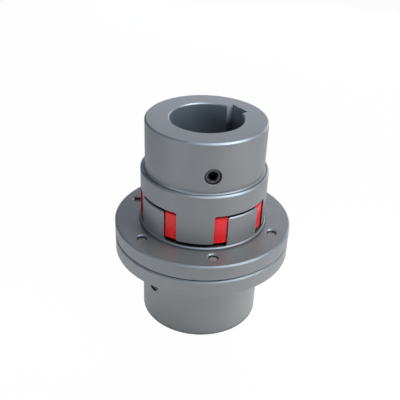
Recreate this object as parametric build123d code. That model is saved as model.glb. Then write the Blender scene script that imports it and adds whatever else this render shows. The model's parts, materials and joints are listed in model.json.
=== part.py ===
from build123d import *
import math
import os

# Jaw coupling with one bolted flange. Millimetres. The coupling's axis is Z, with z = 0 on the end face of
# the lower hub. +X runs through both keyways.

# Heights along the axis
BARREL_LENGTH = 47.3
PLATE_THICKNESS = 10.5
FLANGE_THICKNESS = 11.0
BOSS_HEIGHT = 1.8
ROOT_TO_ROOT = 21.5
HUB_LENGTH = 45.5
RING_LENGTH = 13.5
JAW_LENGTH = 19.6
SPIDER_WIDTH = 18.0

# Diameters
BORE_DIAMETER = 45.0
RING_DIAMETER = 80.0
HUB_DIAMETER = 74.5
BARREL_DIAMETER = 77.6
FLANGE_DIAMETER = 113.4
BOSS_DIAMETER = 81.4
JAW_INNER_DIAMETER = 50.0
FLANGE_HOLE_DIAMETER = 47.0
SPIGOT_DIAMETER = 62.0

# Jaws and spider arms. Each arm is a lens in plan, where two circles cross, so the jaw flanks are hollow.
JAW_COUNT = 4
FLANK_RADIUS = 16.5
FLANK_MID_RADIUS = 32.5
SLOT_WIDTH = 12.0
ARM_PLAY = 0.3
ARM_TIP_RADIUS = 39.2
ARM_CORNER_RADIUS = 1.0
SPIDER_HOLE_DIAMETER = 38.0
SPIDER_RING_DIAMETER = 49.0
SPIDER_EDGE_RADIUS = 0.8
PIP_DIAMETER = 4.0
PIP_HEIGHT = 0.7
JAW_ROOT_FILLET = 1.2
JAW_END_CHAMFER = 0.6
CROWN_DEPTH = 1.5

# Keyway for a 14 mm parallel key in a 45 mm bore
KEYWAY_WIDTH = 14.0
KEYWAY_FLOOR = 26.3

# Bolted joint: M6 x 12 cap screws from below, heads in counterbores
SCREW_COUNT = 6
SCREW_CIRCLE_DIAMETER = 94.0
SCREW_DIAMETER = 6.0
SCREW_LENGTH = 12.0
SCREW_HEAD_DIAMETER = 10.0
SCREW_HEAD_HEIGHT = 6.0
SCREW_SOCKET = 5.0
SCREW_SOCKET_DEPTH = 3.0
SCREW_CLEARANCE_DIAMETER = 6.6
COUNTERBORE_DIAMETER = 11.0
COUNTERBORE_DEPTH = 8.0
TAPPED_MOUTH_CHAMFER = 0.75
SPIGOT_HEIGHT = 2.5
RECESS_DEPTH = 3.0
RIM_RELIEF_DEPTH = 0.8
RIM_RELIEF_WIDTH = 2.5

# Set screws: M10 x 12, hex socket. Angles are measured from +X
SET_SCREW_DIAMETER = 10.0
SET_SCREW_LENGTH = 12.0
SET_SCREW_SOCKET = 5.0
SET_SCREW_SOCKET_DEPTH = 5.0
SET_SCREW_SINK = 1.0
SET_SCREW_EDGE = 0.8
SET_SCREW_MOUTH = 0.2
HUB_SET_SCREW_HEIGHT = 117.0
HUB_SET_SCREW_ANGLE = -121.0
FLANGE_HUB_SET_SCREW_HEIGHT = 29.5
FLANGE_HUB_SET_SCREW_ANGLE = 180.0

# Fits and edges
RUNNING_CLEARANCE = 0.05
LARGE_CHAMFER = 0.9
SMALL_CHAMFER = 0.6
FINE_CHAMFER = 0.4
BORE_CHAMFER = 0.7
SHOULDER_FILLET = 0.9
PLATE_FILLET = 1.5

# Levels worked out from the heights
PLATE_BOTTOM = BARREL_LENGTH
SEAM = PLATE_BOTTOM + PLATE_THICKNESS
FLANGE_TOP = SEAM + FLANGE_THICKNESS
FLANGE_ROOT = FLANGE_TOP + BOSS_HEIGHT
HUB_ROOT = FLANGE_ROOT + ROOT_TO_ROOT
SHOULDER = HUB_ROOT + RING_LENGTH
TOTAL_LENGTH = HUB_ROOT + HUB_LENGTH
SPIDER_MIDDLE = (FLANGE_ROOT + HUB_ROOT) / 2
SPIDER_BOTTOM = SPIDER_MIDDLE - SPIDER_WIDTH / 2

# Counts and pitches round the axis
FULL_TURN = 360.0
ARM_COUNT = 2 * JAW_COUNT
ARM_PITCH = FULL_TURN / ARM_COUNT
JAW_PITCH = FULL_TURN / JAW_COUNT
HEXAGON_SIDES = 6

# How far cutting solids run past a face, and how near an edge lies to a level to count as on it
OVERCUT = 2.0
LEVEL_TOLERANCE = 0.01


def turned(*outline):
    """A solid of revolution about Z from (radius, height) points."""
    section = Plane.XZ * Polygon(*outline, align=None)
    return revolve(section, axis=Axis.Z)


def cylinder(diameter, bottom, top):
    """An upright cylinder between two heights."""
    upright = (Align.CENTER, Align.CENTER, Align.MIN)
    return Pos(0, 0, bottom) * Cylinder(diameter / 2, top - bottom, align=upright)


def bore_cut(diameter, bottom, top, chamfer_size):
    """A through hole with a chamfered mouth at each end."""
    radius = diameter / 2
    mouth = radius + chamfer_size
    return turned(
        (0, bottom - OVERCUT),
        (mouth, bottom - OVERCUT),
        (mouth, bottom),
        (radius, bottom + chamfer_size),
        (radius, top - chamfer_size),
        (mouth, top),
        (mouth, top + OVERCUT),
        (0, top + OVERCUT),
    )


def keyway_cut(bottom, top):
    """A square slot along the bore, on the +X side."""
    slot = Box(KEYWAY_FLOOR, KEYWAY_WIDTH, top - bottom, align=(Align.MIN, Align.CENTER, Align.MIN))
    return Pos(0, 0, bottom) * slot


def ring_of(shape, count, first_angle=0.0):
    """The shape repeated round the axis, from its place on +X."""
    return [Rot(0, 0, first_angle + i * FULL_TURN / count) * shape for i in range(count)]


def round_edges(body, level, radii):
    """The circular edges of a body that lie at one height and have one of the radii."""
    flat = body.edges().filter_by_position(Axis.Z, level - LEVEL_TOLERANCE, level + LEVEL_TOLERANCE)
    arcs = flat.filter_by(GeomType.CIRCLE)
    return [e for e in arcs if any(abs(e.radius - r) < LEVEL_TOLERANCE for r in radii)]


def hexagon_prism(across_flats, depth):
    """A hexagon socket's hollow, from z = 0 downwards."""
    return extrude(RegularPolygon(across_flats / 2, HEXAGON_SIDES, major_radius=False), -depth)


# Jaws -------------------------------------------------------------------------------------------------


def lens(play):
    """Plan of one space between two jaws, on +X. Play draws both flanks in."""
    offset = FLANK_RADIUS - SLOT_WIDTH / 2
    circles = [Pos(FLANK_MID_RADIUS, side * offset) * Circle(FLANK_RADIUS - play) for side in (-1, 1)]
    return circles[0] & circles[1]


def space_plan():
    """Plan of the space between two jaws of the same half, centred on +X: a sector and two lenses."""
    half = math.radians(ARM_PITCH / 2)
    reach = RING_DIAMETER
    corner_x = reach * math.cos(half)
    corner_y = reach * math.sin(half)
    plan = Polygon((0, 0), (corner_x, -corner_y), (reach, 0), (corner_x, corner_y), align=None)
    for side in (-1, 1):
        plan += Rot(0, 0, side * ARM_PITCH / 2) * lens(0)
    return plan & (Circle(RING_DIAMETER / 2 + OVERCUT) - Circle(JAW_INNER_DIAMETER / 2 - OVERCUT))


def crown():
    """Four jaws standing on a thin disc whose top is z = 0, with filleted roots and chamfered ends."""
    body = cylinder(RING_DIAMETER, -CROWN_DEPTH, JAW_LENGTH)
    body -= cylinder(JAW_INNER_DIAMETER, 0, JAW_LENGTH + OVERCUT)
    space = extrude(space_plan(), JAW_LENGTH + OVERCUT)
    space = fillet(round_edges(space, 0, (FLANK_RADIUS,)), JAW_ROOT_FILLET)
    for one in ring_of(space, JAW_COUNT, JAW_PITCH / 2):
        body -= one
    return chamfer(body.edges().group_by(Axis.Z)[-1], JAW_END_CHAMFER)


# Set screws -------------------------------------------------------------------------------------------


def radial(shape, angle, radius, height):
    """Lays a shape that stands on +Z along a radius, with its z = 0 at the given radius."""
    return Rot(0, 0, angle) * Pos(radius, 0, height) * Rot(0, 90, 0) * shape


def set_screw():
    """Outer end at z = 0, point downwards."""
    body = cylinder(SET_SCREW_DIAMETER, -SET_SCREW_LENGTH, 0)
    ends = round_edges(body, 0, (SET_SCREW_DIAMETER / 2,))
    ends += round_edges(body, -SET_SCREW_LENGTH, (SET_SCREW_DIAMETER / 2,))
    body = chamfer(ends, SET_SCREW_EDGE)
    return body - hexagon_prism(SET_SCREW_SOCKET, SET_SCREW_SOCKET_DEPTH)


def set_screw_hole(wall_radius):
    """Tapped hole from the bore out to the wall, its mouth lightly broken. z = 0 on the wall."""
    radius = SET_SCREW_DIAMETER / 2 + RUNNING_CLEARANCE
    mouth = radius + SET_SCREW_MOUTH
    return turned(
        (0, -wall_radius + OVERCUT),
        (radius, -wall_radius + OVERCUT),
        (radius, -SET_SCREW_MOUTH),
        (mouth, 0),
        (mouth, OVERCUT),
        (0, OVERCUT),
    )


# Screws -----------------------------------------------------------------------------------------------


def cap_screw():
    """Underside of the head at z = 0, shank upwards, socket in the lower face of the head."""
    head = cylinder(SCREW_HEAD_DIAMETER, -SCREW_HEAD_HEIGHT, 0)
    head = chamfer(round_edges(head, -SCREW_HEAD_HEIGHT, (SCREW_HEAD_DIAMETER / 2,)), SMALL_CHAMFER)
    shank = cylinder(SCREW_DIAMETER, 0, SCREW_LENGTH)
    shank = chamfer(round_edges(shank, SCREW_LENGTH, (SCREW_DIAMETER / 2,)), SMALL_CHAMFER)
    socket = hexagon_prism(SCREW_SOCKET, SCREW_HEAD_HEIGHT)
    return head + shank - Pos(0, 0, SCREW_SOCKET_DEPTH - SCREW_HEAD_HEIGHT) * socket


def flange_screws():
    """The six screws, tips up, heads sunk in the plate."""
    seat = PLATE_BOTTOM + COUNTERBORE_DEPTH
    placed = Pos(SCREW_CIRCLE_DIAMETER / 2, 0, seat) * cap_screw()
    return ring_of(placed, SCREW_COUNT)


def plate_holes():
    """Clearance holes with counterbores, open below."""
    through = cylinder(SCREW_CLEARANCE_DIAMETER, PLATE_BOTTOM - OVERCUT, SEAM + OVERCUT)
    sink = cylinder(COUNTERBORE_DIAMETER, PLATE_BOTTOM - OVERCUT, PLATE_BOTTOM + COUNTERBORE_DEPTH)
    return ring_of(Pos(SCREW_CIRCLE_DIAMETER / 2, 0, 0) * (through + sink), SCREW_COUNT)


def tapped_holes():
    """Through holes in the flange, chamfered at both faces."""
    hole = bore_cut(SCREW_DIAMETER + 2 * RUNNING_CLEARANCE, SEAM, FLANGE_TOP, TAPPED_MOUTH_CHAMFER)
    return ring_of(Pos(SCREW_CIRCLE_DIAMETER / 2, 0, 0) * hole, SCREW_COUNT)


# Large parts ------------------------------------------------------------------------------------------


def hub():
    """Plug-in hub: jaws down, ring, barrel up, bored and keyed through."""
    ring = RING_DIAMETER / 2
    barrel = HUB_DIAMETER / 2
    body = turned(
        (0, HUB_ROOT),
        (ring, HUB_ROOT),
        (ring, SHOULDER - LARGE_CHAMFER),
        (ring - LARGE_CHAMFER, SHOULDER),
        (barrel, SHOULDER),
        (barrel, TOTAL_LENGTH - LARGE_CHAMFER),
        (barrel - LARGE_CHAMFER, TOTAL_LENGTH),
        (0, TOTAL_LENGTH),
    )
    body = fillet(round_edges(body, SHOULDER, (barrel,)), SHOULDER_FILLET)
    body += Pos(0, 0, HUB_ROOT) * Rot(180, 0, 0) * Rot(0, 0, JAW_PITCH / 2) * crown()
    body -= bore_cut(BORE_DIAMETER, HUB_ROOT, TOTAL_LENGTH, BORE_CHAMFER)
    body -= keyway_cut(HUB_ROOT - OVERCUT, TOTAL_LENGTH + OVERCUT)
    hole = set_screw_hole(barrel)
    return body - radial(hole, HUB_SET_SCREW_ANGLE, barrel, HUB_SET_SCREW_HEIGHT)


def jaw_flange():
    """Flange disc: spigot below, raised boss and jaws above, six tapped holes."""
    rim = FLANGE_DIAMETER / 2
    boss = BOSS_DIAMETER / 2
    spigot = SPIGOT_DIAMETER / 2 - RUNNING_CLEARANCE
    relief = SEAM + RIM_RELIEF_DEPTH
    body = turned(
        (0, SEAM - SPIGOT_HEIGHT),
        (spigot, SEAM - SPIGOT_HEIGHT),
        (spigot, SEAM),
        (rim - RIM_RELIEF_WIDTH, SEAM),
        (rim - RIM_RELIEF_WIDTH, relief),
        (rim - SMALL_CHAMFER, relief),
        (rim, relief + SMALL_CHAMFER),
        (rim, FLANGE_TOP - LARGE_CHAMFER),
        (rim - LARGE_CHAMFER, FLANGE_TOP),
        (boss, FLANGE_TOP),
        (boss, FLANGE_ROOT - SMALL_CHAMFER),
        (boss - SMALL_CHAMFER, FLANGE_ROOT),
        (0, FLANGE_ROOT),
    )
    body += Pos(0, 0, FLANGE_ROOT) * crown()
    body -= bore_cut(FLANGE_HOLE_DIAMETER, SEAM - SPIGOT_HEIGHT, FLANGE_ROOT, SMALL_CHAMFER)
    for hole in tapped_holes():
        body -= hole
    return body


def flange_hub():
    """Lower hub: long barrel below a bolting plate with a recess for the spigot."""
    rim = FLANGE_DIAMETER / 2
    barrel = BARREL_DIAMETER / 2
    body = turned(
        (0, 0),
        (barrel - FINE_CHAMFER, 0),
        (barrel, FINE_CHAMFER),
        (barrel, PLATE_BOTTOM),
        (rim - FINE_CHAMFER, PLATE_BOTTOM),
        (rim, PLATE_BOTTOM + FINE_CHAMFER),
        (rim, SEAM - LARGE_CHAMFER),
        (rim - LARGE_CHAMFER, SEAM),
        (0, SEAM),
    )
    body = fillet(round_edges(body, PLATE_BOTTOM, (barrel,)), PLATE_FILLET)
    recess_floor = SEAM - RECESS_DEPTH
    body -= cylinder(SPIGOT_DIAMETER, recess_floor, SEAM + OVERCUT)
    body -= bore_cut(BORE_DIAMETER, 0, recess_floor, BORE_CHAMFER)
    body -= keyway_cut(-OVERCUT, SEAM + OVERCUT)
    for hole in plate_holes():
        body -= hole
    hole = set_screw_hole(barrel)
    return body - radial(hole, FLANGE_HUB_SET_SCREW_ANGLE, barrel, FLANGE_HUB_SET_SCREW_HEIGHT)


def spider():
    """Elastomer star: eight barrel-shaped arms on a ring, with spacing pips on alternate arms."""
    plan = Circle(SPIDER_RING_DIAMETER / 2)
    arm = lens(ARM_PLAY) & Circle(ARM_TIP_RADIUS)
    for one in ring_of(arm, ARM_COUNT, ARM_PITCH / 2):
        plan += one
    tips = [v for v in plan.vertices() if math.hypot(v.X, v.Y) > ARM_TIP_RADIUS - LEVEL_TOLERANCE]
    plan = fillet(tips, ARM_CORNER_RADIUS)
    plan -= Circle(SPIDER_HOLE_DIAMETER / 2)
    body = extrude(plan, SPIDER_WIDTH)
    faces = body.faces().filter_by(Axis.Z)
    edges = [e for face in faces for e in face.outer_wire().edges()]
    body = fillet(edges, SPIDER_EDGE_RADIUS)
    up = cylinder(PIP_DIAMETER, SPIDER_WIDTH - OVERCUT, SPIDER_WIDTH + PIP_HEIGHT)
    down = cylinder(PIP_DIAMETER, -PIP_HEIGHT, OVERCUT)
    for i, pip in enumerate((up, down)):
        for one in ring_of(Pos(FLANK_MID_RADIUS, 0, 0) * pip, JAW_COUNT, ARM_PITCH * (i + 0.5)):
            body += one
    return Pos(0, 0, SPIDER_BOTTOM) * body


def main():
    pieces = {
        "hub": hub(),
        "spider": spider(),
        "jaw_flange": jaw_flange(),
        "flange_hub": flange_hub(),
        "hub_set_screw": radial(
            set_screw(), HUB_SET_SCREW_ANGLE, HUB_DIAMETER / 2 - SET_SCREW_SINK, HUB_SET_SCREW_HEIGHT
        ),
        "flange_hub_set_screw": radial(
            set_screw(),
            FLANGE_HUB_SET_SCREW_ANGLE,
            BARREL_DIAMETER / 2 - SET_SCREW_SINK,
            FLANGE_HUB_SET_SCREW_HEIGHT,
        ),
    }
    for number, screw in enumerate(flange_screws(), start=1):
        pieces[f"flange_screw_{number}"] = screw
    os.makedirs("parts", exist_ok=True)
    for name, shape in pieces.items():
        export_step(shape, f"parts/{name}.step")


main()
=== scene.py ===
import json
import math

import bmesh
import bpy
from mathutils import Matrix, Vector


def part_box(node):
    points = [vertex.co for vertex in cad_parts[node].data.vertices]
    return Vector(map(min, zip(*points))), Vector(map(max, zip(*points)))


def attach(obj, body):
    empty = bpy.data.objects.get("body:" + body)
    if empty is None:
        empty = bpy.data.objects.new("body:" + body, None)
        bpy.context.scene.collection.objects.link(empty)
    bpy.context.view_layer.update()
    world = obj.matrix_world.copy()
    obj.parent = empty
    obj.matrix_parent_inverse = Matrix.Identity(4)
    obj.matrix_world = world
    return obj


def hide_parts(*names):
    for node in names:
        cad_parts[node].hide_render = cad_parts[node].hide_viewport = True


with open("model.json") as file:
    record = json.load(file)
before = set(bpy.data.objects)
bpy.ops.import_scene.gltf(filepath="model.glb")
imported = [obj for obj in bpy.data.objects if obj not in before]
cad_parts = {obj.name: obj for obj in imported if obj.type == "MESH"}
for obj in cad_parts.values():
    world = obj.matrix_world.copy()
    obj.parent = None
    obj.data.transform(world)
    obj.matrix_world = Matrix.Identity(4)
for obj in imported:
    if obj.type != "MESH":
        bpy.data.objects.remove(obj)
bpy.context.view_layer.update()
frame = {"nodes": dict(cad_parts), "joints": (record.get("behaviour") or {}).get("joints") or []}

MM = 0.001
MERGE = 1e-7

# Viewpoint: on a circle round the coupling's axis, looking down at it
VIEW_TURN = math.radians(-39.0)
CAMERA_OUT = 339.7 * MM
CAMERA_UP = 280.6 * MM
AIM_SIDE = -2.04 * MM
AIM_UP = 80.0 * MM
CAMERA_ROLL = math.radians(2.4)
SENSOR = 36.0
LENS = 55.09

# Studio
LIGHT_DISTANCE = 0.9
FLOOR_GLOW = 0.05
NEAR_GLOW = 0.4
FLOOR_WHITE = 0.965
WORLD_GLOW = 0.05

# Spider plan: each arm is a lens, where two circles cross
ARMS = 8
FLANK_RADIUS = 16.04 * MM
FLANK_MID = 32.5 * MM
FLANK_OFFSET = 10.5 * MM
TIP_RADIUS = 39.2 * MM
RING_RADIUS = 24.5 * MM
HOLE_RADIUS = 19.0 * MM
TIP_CORNER = 0.5 * MM
SHARPEST_CORNER = 0.15 * MM
INNER_CORNER = 0.8 * MM
SPIDER_EDGE = 0.9 * MM
PIP_RADIUS = 2.0 * MM
PIP_HEIGHT = 0.7 * MM
PIP_EDGE = 0.2 * MM

# Steel parts
EDGE_BREAK = 0.15 * MM
BORE_RADIUS = 22.5 * MM
KEYWAY_REACH = 27.5 * MM
BORE_TOP = 137.6 * MM
SHOULDER_FILLET = (106.08 * MM, 0.43 * MM)
# Height bands kept free of painted highlight and edge wear; the pale bluish tint of painted highlights and
# worn edges
HIGHLIGHT_FREE_BANDS = ((117.0 * MM, 6.0 * MM), (29.5 * MM, 6.0 * MM), (46.5 * MM, 0.79 * MM), SHOULDER_FILLET)
HIGHLIGHT_AND_WEAR_TINT = (1.30, 1.42, 1.56)

# Threads and heads
SET_RADIUS = 5.0 * MM
SET_PITCH = 1.5 * MM
SET_LENGTH = 12.0 * MM
SET_CHAMFER = 0.5 * MM
SET_MOUTH = 3.25 * MM
SOCKET_SHADE = -0.12 * MM
BOLT_RADIUS = 3.0 * MM
BOLT_PITCH = 1.0 * MM
BOLT_LENGTH = 12.0 * MM
HEAD_RADIUS = 5.0 * MM
HEAD_HEIGHT = 6.0 * MM
SOCKET_APOTHEM = 2.5 * MM
TAPPED_RADIUS = 3.05 * MM
TAPPED_MOUTH = 0.75 * MM
COLUMNS = 96


# Mesh helpers ---------------------------------------------------------------------------------------------


def add_piece(name, mesh, body, place=None):
    """Links a mesh as a piece that rides on a body and takes its finish from a material slot."""
    piece = bpy.data.objects.new(name, mesh)
    bpy.context.scene.collection.objects.link(piece)
    piece.matrix_world = place or Matrix.Identity(4)
    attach(piece, body)
    return piece


def stack(name, rows, columns=COLUMNS):
    """A mesh from rows (radius, height). A radius is a number or a function of angle; 0 closes an end."""
    bm = bmesh.new()
    loops = []
    for radius, height in rows:
        if radius == 0:
            loops.append([bm.verts.new((0, 0, height))])
            continue
        loop = []
        for i in range(columns):
            angle = 2 * math.pi * i / columns
            r = radius(angle) if callable(radius) else radius
            loop.append(bm.verts.new((r * math.cos(angle), r * math.sin(angle), height)))
        loops.append(loop)
    for low, high in zip(loops, loops[1:]):
        for i in range(columns):
            j = (i + 1) % columns
            corners = [low[i % len(low)], low[j % len(low)], high[j % len(high)], high[i % len(high)]]
            bm.faces.new(list(dict.fromkeys(corners)))
    bmesh.ops.remove_doubles(bm, verts=bm.verts, dist=MERGE)
    bmesh.ops.recalc_face_normals(bm, faces=bm.faces)
    mesh = bpy.data.meshes.new(name)
    bm.to_mesh(mesh)
    bm.free()
    return mesh


def smooth_by_angle(mesh, degrees=30.0):
    """Smooth shading with hard edges where two faces meet at more than an angle."""
    mesh.shade_smooth()
    mesh.set_sharp_from_angle(angle=math.radians(degrees))


# Screws ---------------------------------------------------------------------------------------------------


def hexagon(apothem):
    """Radius of a hexagon at each angle, a flat towards angle 0."""
    sector = math.pi / 3

    def radius(angle):
        return apothem / math.cos((angle + sector / 2) % sector - sector / 2)

    return radius


def thread(major, pitch, height, limit):
    """Radius round a 60 degree thread at one height, never more than a limit."""
    depth = 0.6 * pitch

    def radius(angle):
        phase = (height / pitch - angle / (2 * math.pi)) % 1.0
        flank = abs(phase - 0.5) * 2
        cut = min(max((flank - 0.15) / 0.75, 0.0), 1.0)
        return min(major - depth * cut, limit)

    return radius


def thread_rows(major, pitch, start, end, end_chamfer, start_chamfer=0.0, rows_per_pitch=8):
    """Thread rows between two heights, run out by a 45 degree chamfer at the ends."""
    count = round((end - start) / pitch * rows_per_pitch)
    rows = []
    for i in range(count + 1):
        height = start + (end - start) * i / count
        limit = major - max(0.0, end_chamfer - (end - height), start_chamfer - (height - start))
        rows.append((thread(major, pitch, height, limit), height))
    return rows


def socket_rows(face, depth, apothem, mouth, inward):
    """Hexagon socket from its drilled point out to the face. Inward is +1 or -1 along the axis."""
    floor = face + inward * depth
    drill_point = floor + inward * apothem * 0.5
    mouth_depth = (mouth - apothem) * 0.55
    return [
        (0, drill_point),
        (apothem * 0.97, floor),
        (hexagon(apothem), floor),
        (hexagon(apothem), face + inward * mouth_depth),
        (mouth, face),
    ]


def set_screw_mesh():
    """Socket end at z = 0, cup point downwards."""
    cup_radius = 2.6 * MM
    cup_depth = 1.3 * MM
    point_chamfer = 1.4 * MM
    rows = socket_rows(0, 5.0 * MM, SOCKET_APOTHEM, SET_MOUTH, -1)
    body = thread_rows(SET_RADIUS, SET_PITCH, 0, SET_LENGTH, point_chamfer, SET_CHAMFER)
    rows += [(radius, -height) for radius, height in body]
    rows += [(cup_radius, -SET_LENGTH), (0, cup_depth - SET_LENGTH)]
    mesh = stack("set_screw", rows)
    smooth_by_angle(mesh)
    return mesh


def thread_liner_mesh(depth):
    """Cut threads of a tapped hole, from a depth up to the mouth's chamfer. z = 0 on the flange's face."""
    top = -TAPPED_MOUTH
    crest = TAPPED_RADIUS - 0.45 * MM
    count = 14
    rows = [(TAPPED_RADIUS, -depth)]
    for i in range(1, count):
        height = (top + depth) * i / count - depth
        groove = thread(TAPPED_RADIUS, BOLT_PITCH, height, TAPPED_RADIUS)
        rows.append((lambda angle, groove=groove: max(groove(angle), crest), height))
    rows += [(TAPPED_RADIUS, top), (TAPPED_RADIUS, -depth)]
    mesh = stack("thread_liner", rows)
    smooth_by_angle(mesh)
    return mesh


def knurl(angle):
    """Straight knurl: every second column stands out."""
    column = round(angle / (2 * math.pi) * COLUMNS)
    return HEAD_RADIUS - (0.16 * MM if column % 2 else 0.0)


def cap_screw_mesh():
    """Underside of the head at z = 0, thread upwards, socket below."""
    face = -HEAD_HEIGHT
    rows = socket_rows(face, 3.0 * MM, SOCKET_APOTHEM, SOCKET_APOTHEM * 1.24, 1)
    rows += [
        (HEAD_RADIUS - 0.75 * MM, face),
        (HEAD_RADIUS - 0.35 * MM, face + 0.15 * MM),
        (HEAD_RADIUS - 0.18 * MM, face + 0.5 * MM),
        (knurl, face + 0.7 * MM),
        (knurl, -0.5 * MM),
        (HEAD_RADIUS - 0.18 * MM, -0.3 * MM),
        (HEAD_RADIUS - 0.3 * MM, 0.0),
        (BOLT_RADIUS + 0.3 * MM, 0.0),
        (BOLT_RADIUS, 0.3 * MM),
    ]
    rows += thread_rows(BOLT_RADIUS, BOLT_PITCH, 0.5 * MM, BOLT_LENGTH, 0.7 * MM)
    rows.append((0, BOLT_LENGTH))
    mesh = stack("cap_screw", rows)
    smooth_by_angle(mesh)
    return mesh


# Spider ---------------------------------------------------------------------------------------------------


def meeting(centre_a, radius_a, centre_b, radius_b):
    """Where two circles cross, on the left of the line from a to b."""
    line = centre_b - centre_a
    gap = line.length
    along = (gap * gap + radius_a**2 - radius_b**2) / (2 * gap)
    across = math.sqrt(radius_a**2 - along**2)
    left = Vector((-line.y, line.x)) / gap
    return centre_a + line / gap * along + left * across


def arc(centre, start, end, count):
    """Points on a circle from start round to end the short way, both ends included."""
    a = math.atan2(start.y - centre.y, start.x - centre.x)
    b = math.atan2(end.y - centre.y, end.x - centre.x)
    turn = (b - a + math.pi) % (2 * math.pi) - math.pi
    radius = (start - centre).length
    return [
        centre + Vector((math.cos(a + turn * i / count), math.sin(a + turn * i / count))) * radius
        for i in range(count + 1)
    ]


def half_arm(inset):
    """One side of an arm, from the ring out to the middle of its tip, on +X with y above 0."""
    origin = Vector((0, 0))
    flank = Vector((FLANK_MID, -FLANK_OFFSET))
    flank_r = FLANK_RADIUS - inset
    tip_r = TIP_RADIUS - inset
    ring_r = RING_RADIUS - inset
    corner_r = max(TIP_CORNER - inset, SHARPEST_CORNER)
    inner_r = INNER_CORNER + inset
    corner = meeting(flank, flank_r - corner_r, origin, tip_r - corner_r)
    if corner.y < 0:
        corner = meeting(origin, tip_r - corner_r, flank, flank_r - corner_r)
    root = meeting(origin, ring_r + inner_r, flank, flank_r + inner_r)
    if root.y < 0:
        root = meeting(flank, flank_r + inner_r, origin, ring_r + inner_r)
    root_start = root.normalized() * ring_r
    root_end = root + (flank - root).normalized() * inner_r
    side_end = corner + (corner - flank).normalized() * corner_r
    tip_start = corner + corner.normalized() * corner_r
    middle = Vector((tip_r, 0))
    points = arc(root, root_start, root_end, 5)
    points += arc(flank, root_end, side_end, 22)[1:]
    points += arc(corner, side_end, tip_start, 6)[1:]
    points += arc(origin, tip_start, middle, 5)[1:]
    return points


def spider_outline(inset):
    """The whole outline of the star, anticlockwise."""
    upper = half_arm(inset)
    lower = [Vector((p.x, -p.y)) for p in upper]
    arm = lower[:-1] + upper[::-1]
    pitch = 2 * math.pi / ARMS
    outline = []
    for k in range(ARMS):
        turn = Matrix.Rotation(pitch * (k + 0.5), 2)
        turned = [turn @ p for p in arm]
        outline += turned
        following = Matrix.Rotation(pitch * (k + 1.5), 2) @ arm[0]
        outline += arc(Vector((0, 0)), turned[-1], following, 6)[1:-1]
    return outline


def spider_levels(bottom, top):
    """(height, inset) up one side: straight walls between soft 45 degree edges."""
    soft = 0.18
    edge = [(0, 1 + soft), (0, 1), (soft / 3, 1 - soft), (1 - soft, soft / 3), (1, 0), (1 + soft, 0)]
    lower = [(bottom + SPIDER_EDGE * up, SPIDER_EDGE * back) for up, back in edge]
    upper = [(bottom + top - height, inset) for height, inset in reversed(lower)]
    return lower + upper


def circle(radius, centre, count):
    """Points round a circle in plan."""
    angles = [2 * math.pi * i / count for i in range(count)]
    return [centre + Vector((radius * math.cos(a), radius * math.sin(a))) for a in angles]


def add_loop(bm, points, height):
    return [bm.verts.new((p.x, p.y, height)) for p in points]


def bridge(bm, loops):
    """Walls between neighbouring loops of equal length."""
    for low, high in zip(loops, loops[1:]):
        for i in range(len(low)):
            j = (i + 1) % len(low)
            bm.faces.new((low[i], low[j], high[j], high[i]))


def add_pip(bm, centre, face, outward):
    """A low round pip on an end face. Outward is +1 on the top face and -1 on the bottom one."""
    profile = [
        (PIP_RADIUS + PIP_EDGE, 0.0),
        (PIP_RADIUS, PIP_EDGE),
        (PIP_RADIUS, PIP_HEIGHT - PIP_EDGE),
        (PIP_RADIUS - PIP_EDGE, PIP_HEIGHT),
    ]
    loops = [add_loop(bm, circle(r, centre, 24), face + outward * rise) for r, rise in profile]
    bridge(bm, loops)
    bm.faces.new(loops[-1])
    return loops[0]


def spider_mesh(bottom, top):
    """The elastomer star with its round hole, and a spacing pip on alternate arms of each face."""
    bm = bmesh.new()
    levels = spider_levels(bottom, top)
    outer = [add_loop(bm, spider_outline(inset), height) for height, inset in levels]
    centre = Vector((0, 0))
    inner = [add_loop(bm, circle(HOLE_RADIUS + inset, centre, 96), height) for height, inset in levels]
    bridge(bm, outer)
    bridge(bm, inner)
    arm_pitch = 2 * math.pi / ARMS
    for end, face, outward, first in ((0, bottom, -1, 1.5), (-1, top, 1, 0.5)):
        rims = [outer[end], inner[end]]
        for k in range(0, ARMS, 2):
            angle = arm_pitch * (k + first)
            place = Vector((math.cos(angle), math.sin(angle))) * FLANK_MID
            rims.append(add_pip(bm, place, face, outward))
        edges = [bm.edges.get((rim[i - 1], rim[i])) for rim in rims for i in range(len(rim))]
        bmesh.ops.triangle_fill(bm, edges=edges, use_beauty=True)
    bmesh.ops.recalc_face_normals(bm, faces=bm.faces)
    mesh = bpy.data.meshes.new("spider_star")
    bm.to_mesh(mesh)
    bm.free()
    smooth_by_angle(mesh, 35.0)
    return mesh


# Materials ------------------------------------------------------------------------------------------------


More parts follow.
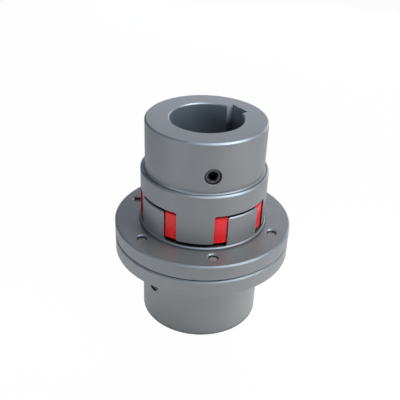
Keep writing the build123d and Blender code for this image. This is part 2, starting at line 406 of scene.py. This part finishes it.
class Graph:
    """A new material's node tree, with short calls for adding and linking nodes."""

    def __init__(self, name):
        self.material = bpy.data.materials.new(name)
        self.material.use_nodes = True
        self.tree = self.material.node_tree
        self.shader = self.tree.nodes["Principled BSDF"]

    def add(self, kind, inputs=None, **settings):
        node = self.tree.nodes.new("ShaderNode" + kind)
        for key, value in settings.items():
            setattr(node, key, value)
        for key, value in (inputs or {}).items():
            self.feed(node, key, value)
        return node

    def feed(self, node, key, value):
        if isinstance(value, bpy.types.NodeSocket):
            self.tree.links.new(value, node.inputs[key])
        else:
            node.inputs[key].default_value = value

    def math(self, operation, a, b=0.0, clamp=False):
        return self.add("Math", {0: a, 1: b}, operation=operation, use_clamp=clamp).outputs[0]

    def noise(self, vector, scale, detail=2.0, roughness=0.5):
        inputs = {"Vector": vector, "Scale": scale, "Detail": detail, "Roughness": roughness}
        return self.add("TexNoise", inputs).outputs["Fac"]

    def remap(self, value, low, high, to_low, to_high):
        inputs = {"Value": value, 1: low, 2: high, 3: to_low, 4: to_high}
        return self.add("MapRange", inputs).outputs[0]

    def mix(self, factor, a, b):
        node = self.add("Mix", data_type="RGBA")
        self.feed(node, 0, factor)
        self.feed(node, 6, a)
        self.feed(node, 7, b)
        return node.outputs[2]

    def edge_mask(self, radius, low, high):
        """1 on edges, 0 elsewhere, from how far a bevelled normal leans from the true one."""
        bevel = self.add("Bevel", {"Radius": radius}, samples=6).outputs["Normal"]
        true = self.add("NewGeometry").outputs["Normal"]
        same = self.add("VectorMath", {0: bevel, 1: true}, operation="DOT_PRODUCT").outputs["Value"]
        return self.remap(same, high, low, 0.0, 1.0)


def machined_steel(name, tint):
    """Satin turned steel: ring marks round Z on walls and faces, mottled sheen, and paler worn edges that
    double as a painted edge highlight.

    Chamfers, freshly cut, have a little more metal and, with the shoulder fillet, a painted bluish highlight;
    corners and level faces beside walls get painted shade; the bore walls are painted a blue-grey shade that
    deepens downwards, and the keyway's sides are painted lit near the top, fading downwards.
    """
    g = Graph(name)
    place = g.add("TexCoord").outputs["Object"]
    x, y, z = g.add("SeparateXYZ", {0: place}).outputs
    squares = g.math("ADD", g.math("MULTIPLY", x, x), g.math("MULTIPLY", y, y))
    radius = g.math("SQRT", squares)
    rings = g.add("CombineXYZ", {0: radius, 1: z}).outputs[0]
    fine = g.noise(rings, 5200.0, 2.0)
    broad = g.noise(rings, 700.0, 3.0)
    mottle = g.noise(place, 60.0, 4.0, 0.6)
    grain = g.noise(place, 2600.0, 2.0)

    normal = g.add("SeparateXYZ", {0: g.add("NewGeometry").outputs["Normal"]}).outputs
    lean = g.math("ABSOLUTE", normal[2])
    # Sloped faces: a painted highlight in the colour, and a little more metal
    cut = g.math("MULTIPLY", g.remap(lean, 0.15, 0.4, 0.0, 1.0), g.remap(lean, 0.9, 0.98, 1.0, 0.0))
    # Edges: partly real wear, partly a painted edge highlight
    wear = g.edge_mask(0.45 * MM, 0.80, 0.995)
    highlight_and_wear = g.math("MAXIMUM", g.math("MULTIPLY", wear, 0.9), cut)
    # Within these height bands: no painted highlight, no wear and no extra metal
    for middle, reach in HIGHLIGHT_FREE_BANDS:
        away = g.math("ABSOLUTE", g.math("SUBTRACT", z, middle))
        outside = g.math("GREATER_THAN", away, reach)
        highlight_and_wear = g.math("MULTIPLY", highlight_and_wear, outside)
        cut = g.math("MULTIPLY", cut, outside)
    # Painted highlight along the shoulder fillet
    middle, reach = SHOULDER_FILLET
    on_fillet = g.math("LESS_THAN", g.math("ABSOLUTE", g.math("SUBTRACT", z, middle)), reach)
    highlight_and_wear = g.math("MAXIMUM", highlight_and_wear, g.math("MULTIPLY", on_fillet, 0.9))
    cut = g.math("MAXIMUM", cut, on_fillet)

    upright = g.math("LESS_THAN", lean, 0.3)
    in_bore = g.math("MULTIPLY", g.math("LESS_THAN", radius, KEYWAY_REACH), upright)
    sideways = g.math("GREATER_THAN", g.math("ABSOLUTE", normal[1]), 0.99)
    keyway_lit_area = g.math("MULTIPLY", sideways, g.math("GREATER_THAN", radius, BORE_RADIUS + 0.1 * MM))
    keyway_lit_area = g.math("MULTIPLY", keyway_lit_area, in_bore)
    bore_shade_area = g.math("SUBTRACT", in_bore, keyway_lit_area, clamp=True)

    # Painted shade in corners and on level faces beside walls, from an occlusion test; none on the bore walls
    open_sky = g.add("AmbientOcclusion", {"Distance": 4.0 * MM}, samples=8).outputs["AO"]
    level_face_shade = g.remap(lean, 0.3, 0.9, 0.45, 0.06)
    corner_shade = g.math("MAXIMUM", g.remap(open_sky, 0.42, 0.85, level_face_shade, 1.0), in_bore)
    shade = g.remap(mottle, 0.3, 0.7, 0.96, 1.04)
    shade = g.math("MULTIPLY", shade, g.remap(broad, 0.3, 0.7, 0.985, 1.015))
    shade = g.math("MULTIPLY", shade, corner_shade)
    base = g.add("VectorMath", {0: tint, 3: shade}, operation="SCALE").outputs[0]
    # Painted highlight and worn edges: a paler bluish colour
    colour = g.mix(highlight_and_wear, base, [c * pale for c, pale in zip(tint, HIGHLIGHT_AND_WEAR_TINT)] + [1.0])
    # Bore walls: a painted blue-grey shade, darker downwards
    depth = g.remap(z, BORE_TOP - 45.0 * MM, BORE_TOP, 0.35, 1.0)
    bore_shade = g.add("VectorMath", {0: (0.25, 0.315, 0.37), 3: depth}, operation="SCALE").outputs[0]
    colour = g.mix(bore_shade_area, colour, bore_shade)
    # Keyway sides: painted light near the top, fading downwards
    depth = g.remap(z, BORE_TOP - 13.0 * MM, BORE_TOP - 2.0 * MM, 0.12, 1.0)
    keyway_light = g.add("VectorMath", {0: (0.74, 0.78, 0.82), 3: depth}, operation="SCALE").outputs[0]
    colour = g.mix(keyway_lit_area, colour, keyway_light)

    rough = g.math("ADD", g.remap(mottle, 0.3, 0.7, 0.40, 0.46), g.remap(fine, 0.3, 0.7, -0.02, 0.02))
    relief = g.math("ADD", g.math("MULTIPLY", fine, 0.5), g.math("MULTIPLY", grain, 0.5))
    bump = g.add("Bump", {"Height": relief, "Strength": 0.25, "Distance": 0.01 * MM})
    g.feed(g.shader, "Base Color", colour)
    g.feed(g.shader, "Metallic", g.remap(cut, 0.0, 1.0, 0.5, 0.62))
    g.feed(g.shader, "Roughness", rough)
    g.feed(g.shader, "Normal", bump.outputs[0])
    return g.material


def polyurethane(name, tint):
    """Satin moulded elastomer: soft sheen, faint flow mottling, a little light carried inside."""
    g = Graph(name)
    place = g.add("TexCoord").outputs["Object"]
    flow = g.noise(place, 90.0, 3.0)
    pores = g.noise(place, 3000.0, 2.0)
    wear = g.edge_mask(0.5 * MM, 0.75, 0.99)
    deep = [c * 0.9 for c in tint]
    base = g.mix(g.remap(flow, 0.35, 0.65, 0.0, 1.0), deep + [1.0], list(tint) + [1.0])
    pale = [min(1.0, c + 0.04) for c in tint]
    colour = g.mix(g.math("MULTIPLY", wear, 0.35), base, pale + [1.0])
    bump = g.add("Bump", {"Height": pores, "Strength": 0.3, "Distance": 0.02 * MM})
    g.feed(g.shader, "Base Color", colour)
    g.feed(g.shader, "Roughness", g.remap(flow, 0.3, 0.7, 0.22, 0.30))
    g.feed(g.shader, "Normal", bump.outputs[0])
    g.feed(g.shader, "Subsurface Weight", 0.12)
    g.feed(g.shader, "Subsurface Scale", 1.5 * MM)
    return g.material


def screw_steel(name, tint, metallic, roughness, worn, socket=0.0):
    """Coated screw steel: mottled coating, paler worn corners, and painted shade inside a socket's radius."""
    g = Graph(name)
    place = g.add("TexCoord").outputs["Object"]
    mottle = g.noise(place, 500.0, 4.0, 0.6)
    grain = g.noise(place, 6000.0, 2.0)
    wear = g.edge_mask(0.15 * MM, 0.70, 0.98)
    shade = g.remap(mottle, 0.3, 0.7, 0.85, 1.15)
    base = g.add("VectorMath", {0: tint, 3: shade}, operation="SCALE").outputs[0]
    pale = [min(1.0, c * 2.2) for c in tint]
    colour = g.mix(g.math("MULTIPLY", wear, worn), base, pale + [1.0])
    x, y, z = g.add("SeparateXYZ", {0: place}).outputs
    squares = g.math("ADD", g.math("MULTIPLY", x, x), g.math("MULTIPLY", y, y))
    # Painted shade inside the socket, below its mouth
    inside = g.math("LESS_THAN", g.math("SQRT", squares), socket)
    inside = g.math("MULTIPLY", inside, g.math("LESS_THAN", z, SOCKET_SHADE))
    socket_shade_colour = [c * 0.3 for c in tint]
    bump = g.add("Bump", {"Height": grain, "Strength": 0.3, "Distance": 0.01 * MM})
    low, high = roughness
    around = g.add("Tangent", {}, direction_type="RADIAL", axis="Z").outputs[0]
    g.feed(g.shader, "Tangent", around)
    g.feed(g.shader, "Anisotropic", 0.75)
    g.feed(g.shader, "Base Color", g.mix(inside, colour, socket_shade_colour + [1.0]))
    g.feed(g.shader, "Metallic", metallic)
    g.feed(g.shader, "Roughness", g.remap(mottle, 0.3, 0.7, low, high))
    g.feed(g.shader, "Normal", bump.outputs[0])
    return g.material


def floor_paint(name):
    """White floor: pure white to the camera but for a trace of shadow, and a soft glow to everything else."""
    g = Graph(name)
    place = g.add("TexCoord").outputs["Object"]
    cloud = g.noise(place, 8.0, 3.0)
    colour = g.mix(g.remap(cloud, 0.3, 0.7, 0.0, 1.0), (0.88, 0.88, 0.88, 1), (0.9, 0.9, 0.9, 1))
    g.feed(g.shader, "Base Color", colour)
    g.feed(g.shader, "Roughness", 0.9)
    g.feed(g.shader, "Specular IOR Level", 0.1)
    g.feed(g.shader, "Emission Color", (1, 1, 1, 1))
    turned = g.add("VectorRotate", {0: place, "Angle": -VIEW_TURN}, rotation_type="Z_AXIS").outputs[0]
    side, depth, up = g.add("SeparateXYZ", {0: turned}).outputs
    reach = g.add("VectorMath", {0: place}, operation="LENGTH").outputs["Value"]
    sideways = g.math("DIVIDE", g.math("ABSOLUTE", side), g.math("MAXIMUM", reach, MM))
    near = g.remap(reach, 60.0 * MM, 260.0 * MM, 1.0, 0.0)
    near = g.math("MULTIPLY", near, g.math("POWER", sideways, 2.0))
    g.feed(g.shader, "Emission Strength", g.math("ADD", g.math("MULTIPLY", near, NEAR_GLOW), FLOOR_GLOW))
    white = g.add("Emission", {"Strength": 1.0}).outputs[0]
    seen = g.add("LightPath").outputs["Is Camera Ray"]
    blend = g.add("MixShader", {0: g.math("MULTIPLY", seen, FLOOR_WHITE)})
    g.tree.links.new(g.shader.outputs[0], blend.inputs[1])
    g.tree.links.new(white, blend.inputs[2])
    below = g.add("NewGeometry").outputs["Backfacing"]
    clear = g.add("BsdfTransparent").outputs[0]
    one_sided = g.add("MixShader", {0: below})
    g.tree.links.new(blend.outputs[0], one_sided.inputs[1])
    g.tree.links.new(clear, one_sided.inputs[2])
    g.tree.links.new(one_sided.outputs[0], g.tree.nodes["Material Output"].inputs["Surface"])
    return g.material


# Object ---------------------------------------------------------------------------------------------------


def dress_steel():
    """Machined finish on the three turned parts, each with its own slight tint, and broken edges."""
    tints = {
        "hub": (0.266, 0.270, 0.272),
        "jaw_flange": (0.264, 0.268, 0.270),
        "flange_hub": (0.282, 0.284, 0.282),
    }
    for node, tint in tints.items():
        part = frame["nodes"][node]
        part.data.materials.clear()
        part.data.materials.append(machined_steel("machined_" + node, tint))
        edge = part.modifiers.new("broken_edges", "BEVEL")
        edge.width = EDGE_BREAK
        edge.segments = 2
        edge.limit_method = "ANGLE"
        edge.angle_limit = math.radians(60.0)
        edge.harden_normals = True


def add_spider():
    low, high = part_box("spider")
    mesh = spider_mesh(low.z + PIP_HEIGHT, high.z - PIP_HEIGHT)
    mesh.materials.append(polyurethane("red_urethane", (0.93, 0.014, 0.018)))
    piece = add_piece("spider_star", mesh, "spider")
    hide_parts("spider")


def joint_axis(child):
    """Direction of the joint that carries a body."""
    return Vector(next(j["axis"] for j in frame["joints"] if j["child"] == child))


def add_set_screws():
    mesh = set_screw_mesh()
    mesh.materials.append(screw_steel("dark_screw", (0.105, 0.107, 0.112), 1.0, (0.28, 0.42), 0.4, SET_MOUTH))
    for node in ("hub_set_screw", "flange_hub_set_screw"):
        low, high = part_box(node)
        outward = joint_axis(node)
        face = (low + high) / 2 + outward * SET_LENGTH / 2
        place = Matrix.Translation(face) @ outward.to_track_quat("Z", "Y").to_matrix().to_4x4()
        piece = add_piece(node + "_threaded", mesh, node, place)
        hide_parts(node)


def add_flange_screws():
    """Threaded cap screws in place of the plain ones, and cut threads in the flange holes above them."""
    mesh = cap_screw_mesh()
    mesh.materials.append(screw_steel("zinc_steel", (0.44, 0.42, 0.38), 0.6, (0.4, 0.5), 0.3))
    flange_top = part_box("jaw_flange")[0].z + 13.5 * MM
    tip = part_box("flange_screw_1")[1].z
    liner = thread_liner_mesh(flange_top - tip - 0.05 * MM)
    # The hole threads are tinted near black: painted shade inside the tapped holes
    liner.materials.append(screw_steel("shaded_thread", (0.07, 0.07, 0.072), 0.6, (0.5, 0.65), 0.3))
    for node in sorted(n for n in frame["nodes"] if n.startswith("flange_screw_")):
        low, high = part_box(node)
        centre = (low + high) / 2
        spin = Matrix.Rotation(math.atan2(centre.y, centre.x) * 2.3, 4, "Z")
        seat = Matrix.Translation((centre.x, centre.y, low.z + HEAD_HEIGHT))
        piece = add_piece(node + "_threaded", mesh, node, seat @ spin)
        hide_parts(node)
        mouth = Matrix.Translation((centre.x, centre.y, flange_top))
        number = node.rsplit("_", 1)[1]
        add_piece("flange_thread_" + number, liner, "flange_hub", mouth @ spin)


# Stage ----------------------------------------------------------------------------------------------------


def add_floor():
    half = 6.0
    mesh = bpy.data.meshes.new("floor")
    corners = [(-half, -half, 0), (half, -half, 0), (half, half, 0), (-half, half, 0)]
    mesh.from_pydata(corners, [], [(0, 1, 2, 3)])
    mesh.materials.append(floor_paint("floor_paint"))
    floor = bpy.data.objects.new("floor", mesh)
    bpy.context.scene.collection.objects.link(floor)


def add_area_light(name, turn, elevation, width, height, power, colour):
    """A soft light aimed at the coupling. Turn is measured from the camera's side, to its right."""
    light = bpy.data.lights.new(name, "AREA")
    light.shape = "RECTANGLE"
    light.size = width
    light.size_y = height
    light.energy = power
    light.color = colour
    lamp = bpy.data.objects.new(name, light)
    bpy.context.scene.collection.objects.link(lamp)
    angle = VIEW_TURN - math.pi / 2 + math.radians(turn)
    rise = math.radians(elevation)
    out = Vector((math.cos(angle) * math.cos(rise), math.sin(angle) * math.cos(rise), math.sin(rise)))
    lamp.location = Vector((0, 0, AIM_UP)) + out * LIGHT_DISTANCE
    lamp.rotation_mode = "QUATERNION"
    lamp.rotation_quaternion = out.to_track_quat("Z", "Y")
    lamp.visible_camera = False


def add_world():
    """White to the camera, dim to everything else."""
    world = bpy.data.worlds.new("studio")
    world.use_nodes = True
    tree = world.node_tree
    seen = tree.nodes.new("ShaderNodeLightPath").outputs["Is Camera Ray"]
    strength = tree.nodes.new("ShaderNodeMapRange")
    strength.inputs["To Min"].default_value = WORLD_GLOW
    background = tree.nodes["Background"]
    background.inputs["Color"].default_value = (1.0, 1.0, 1.0, 1.0)
    tree.links.new(seen, strength.inputs["Value"])
    tree.links.new(strength.outputs[0], background.inputs["Strength"])
    bpy.context.scene.world = world


def add_camera():
    spin = Matrix.Rotation(VIEW_TURN, 3, "Z")
    place = spin @ Vector((0, -CAMERA_OUT, CAMERA_UP))
    aim = spin @ Vector((AIM_SIDE, 0, AIM_UP))
    forward = (aim - place).normalized()
    right = forward.cross(Vector((0, 0, 1))).normalized()
    up = right.cross(forward)
    side = right * math.cos(CAMERA_ROLL) + up * math.sin(CAMERA_ROLL)
    top = up * math.cos(CAMERA_ROLL) - right * math.sin(CAMERA_ROLL)
    data = bpy.data.cameras.new("camera")
    data.sensor_width = SENSOR
    data.lens = LENS
    data.clip_start = 0.01
    camera = bpy.data.objects.new("camera", data)
    bpy.context.scene.collection.objects.link(camera)
    axes = Matrix((side, top, -forward)).transposed().to_4x4()
    camera.matrix_world = Matrix.Translation(place) @ axes
    bpy.context.scene.camera = camera


dress_steel()
add_spider()
add_set_screws()
add_flange_screws()
add_floor()
add_world()
add_area_light("key", 72.0, 58.0, 0.45, 0.6, 4.7, (0.94, 1.0, 1.04))
add_area_light("top", 28.0, 64.0, 0.8, 0.45, 1.85, (0.95, 1.0, 1.10))
add_area_light("left", -48.0, 6.0, 0.5, 0.45, 2.25, (0.91, 1.0, 1.12))
add_area_light("right", 60.0, 10.0, 0.7, 0.4, 2.1, (1.02, 1.0, 0.98))
add_area_light("back", 180.0, 12.0, 0.55, 0.45, 1.75, (0.90, 0.98, 1.14))
add_area_light("back_right", 146.0, 11.0, 0.55, 0.45, 1.65, (1.03, 1.0, 0.95))
add_camera()
bpy.context.scene.view_settings.view_transform = "Standard"
